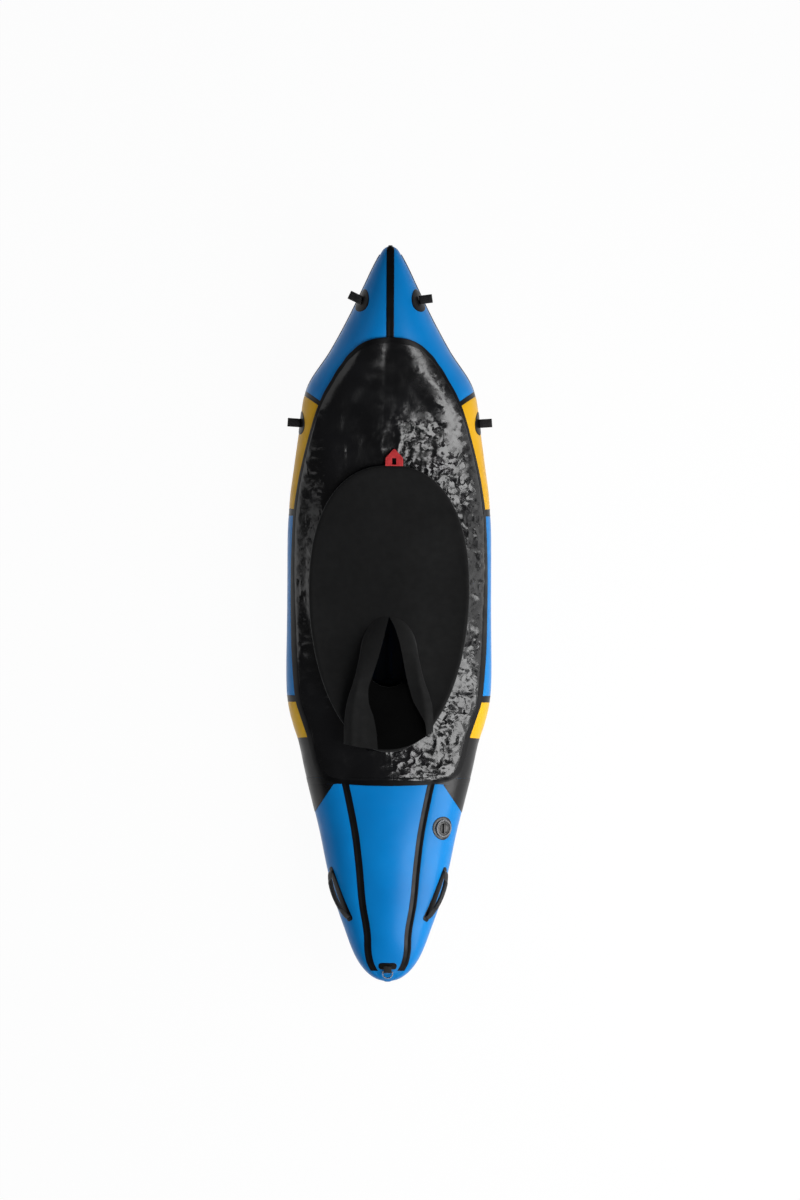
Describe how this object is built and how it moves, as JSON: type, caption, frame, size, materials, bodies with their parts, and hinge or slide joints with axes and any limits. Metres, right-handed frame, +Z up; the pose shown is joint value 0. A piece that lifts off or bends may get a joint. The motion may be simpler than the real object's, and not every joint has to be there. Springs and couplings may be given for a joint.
{
  "type": "packraft",
  "caption": "Long pointed inflatable packraft with a spray deck, a skirt with a waist tunnel, a stern chamber, a valve, carry handles and tie loops.",
  "frame": {"origin": "on the surface the floor rests on, under the middle of the overall length and beam", "axes": "+Y towards the bow, +X to the paddler's right (starboard), +Z up"},
  "size_m": [0.812, 2.8975, 0.4604],
  "materials": {
    "blue_fabric": "satin",
    "yellow_fabric": "satin",
    "black_coated_fabric": "gloss",
    "black_tape": "satin",
    "black_webbing": "matte",
    "skirt_fabric": "matte",
    "red_tab": "matte",
    "black_plastic": "satin",
    "grey_plastic": "gloss",
    "steel": "polished",
    "seat_fabric": "matte"
  },
  "bodies": {
    "hull": {"backrest_strap": "black_webbing", "bow_floor": "black_coated_fabric", "bow_panel_left": "blue_fabric", "bow_panel_right": "blue_fabric", "bow_seam_tape": "black_tape", "coaming_rod": "black_plastic", "coaming_sleeve": "black_coated_fabric", "deck_edge_strip": "black_tape", "floor": "black_coated_fabric", "front_seam_tape_left": "black_tape", "front_seam_tape_right": "black_tape", "front_side_panel_left": "yellow_fabric", "front_side_panel_right": "yellow_fabric", "handle_base_left": "black_tape", "handle_base_right": "black_tape", "mid_side_panel_left": "blue_fabric", "mid_side_panel_right": "blue_fabric", "middle_seam_tape_left": "black_tape", "middle_seam_tape_right": "black_tape", "rear_gusset_left": "black_coated_fabric", "rear_gusset_right": "black_coated_fabric", "rear_quarter_panel_left": "black_coated_fabric", "rear_quarter_panel_right": "black_coated_fabric", "rear_seam_tape_left": "black_tape", "rear_seam_tape_right": "black_tape", "rear_side_panel_left": "yellow_fabric", "rear_side_panel_right": "yellow_fabric", "seat": "seat_fabric", "spray_deck": "black_coated_fabric", "stern_bulkhead": "black_coated_fabric", "stern_patch": "black_tape", "stern_seam_tape_left": "black_tape", "stern_seam_tape_right": "black_tape", "stern_side_panel_left": "blue_fabric", "stern_side_panel_right": "blue_fabric", "stern_tab": "black_webbing", "stern_top_panel": "blue_fabric", "strap_tab_left": "black_tape", "strap_tab_right": "black_tape", "tie_patch_bow_left": "black_tape", "tie_patch_bow_right": "black_tape", "tie_patch_side_left": "black_tape", "tie_patch_side_right": "black_tape", "valve_body": "grey_plastic", "valve_flange": "black_plastic", "valve_spring": "steel"},
    "spray_skirt": {"spray_skirt": "skirt_fabric", "skirt_hem_cord": "black_webbing"},
    "waist_tunnel": {"waist_tunnel": "skirt_fabric"},
    "grab_tab": {"grab_tab": "red_tab"},
    "tie_loop_bow_left": {"tie_loop_bow_left": "black_webbing"},
    "tie_loop_bow_right": {"tie_loop_bow_right": "black_webbing"},
    "tie_loop_side_left": {"tie_loop_side_left": "black_webbing"},
    "tie_loop_side_right": {"tie_loop_side_right": "black_webbing"},
    "carry_handle_left": {"carry_handle_left": "black_webbing"},
    "carry_handle_right": {"carry_handle_right": "black_webbing"},
    "stern_ring": {"stern_ring": "steel"},
    "valve_cap": {"valve_cap": "black_plastic"},
    "valve_poppet": {"valve_poppet": "black_plastic"},
    "backrest": {"backrest": "seat_fabric"}
  },
  "joints": [
    {"name": "skirt_lift", "type": "slide", "parent": "hull", "child": "spray_skirt", "axis": [0, 0, 1], "range_m": [0, 0.25]},
    {"name": "tunnel_stand", "type": "hinge", "parent": "spray_skirt", "child": "waist_tunnel", "pos_m": [0, -0.01, 0.3383], "axis": [-1, 0, 0], "range_deg": [0, 60]},
    {"name": "grab_tab_lift", "type": "hinge", "parent": "spray_skirt", "child": "grab_tab", "pos_m": [0.018, 0.5828, 0.35658], "axis": [1, 0, 0], "range_deg": [0, 80]},
    {"name": "tie_loop_bow_left_flop", "type": "hinge", "parent": "hull", "child": "tie_loop_bow_left", "pos_m": [-0.1202, 1.23705, 0.4017], "axis": [-0.4333, -0.9013, 0], "range_deg": [-30, 30]},
    {"name": "tie_loop_bow_right_flop", "type": "hinge", "parent": "hull", "child": "tie_loop_bow_right", "pos_m": [0.1202, 1.23705, 0.4017], "axis": [-0.1336, 0.991, 0], "range_deg": [-30, 30]},
    {"name": "tie_loop_side_left_flop", "type": "hinge", "parent": "hull", "child": "tie_loop_side_left", "pos_m": [-0.35793, 0.75264, 0.23218], "axis": [-0.0633, -0.998, 0], "range_deg": [-30, 30]},
    {"name": "tie_loop_side_right_flop", "type": "hinge", "parent": "hull", "child": "tie_loop_side_right", "pos_m": [0.35793, 0.75264, 0.23218], "axis": [-0.0633, 0.998, 0], "range_deg": [-30, 30]},
    {"name": "carry_handle_left_swing", "type": "hinge", "parent": "hull", "child": "carry_handle_left", "pos_m": [-0.22674, -1.01561, 0.24506], "axis": [0.3512, -0.9016, 0.2524], "range_deg": [-40, 40]},
    {"name": "carry_handle_right_swing", "type": "hinge", "parent": "hull", "child": "carry_handle_right", "pos_m": [0.22674, -1.01561, 0.24506], "axis": [-0.3512, -0.9016, 0.2524], "range_deg": [-40, 40]},
    {"name": "stern_ring_swing", "type": "hinge", "parent": "hull", "child": "stern_ring", "pos_m": [0, -1.41159, 0.32419], "axis": [-1, 0, 0], "range_deg": [0, 120]},
    {"name": "valve_cap_turn", "type": "hinge", "parent": "hull", "child": "valve_cap", "pos_m": [0.21637, -0.84535, 0.27166], "axis": [0.5692, -0.0482, 0.8208], "range_deg": [0, 90]},
    {"name": "valve_poppet_press", "type": "slide", "parent": "hull", "child": "valve_poppet", "axis": [-0.5692, 0.0482, -0.8208], "range_m": [0, 0.004], "stiffness_N_per_m": 300, "springref_m": -0.004, "deforming": ["valve_spring"]},
    {"name": "backrest_fold", "type": "hinge", "parent": "hull", "child": "backrest", "pos_m": [0, -0.3006, 0.0823], "axis": [-1, 0, 0], "range_deg": [0, 75]}
  ]
}
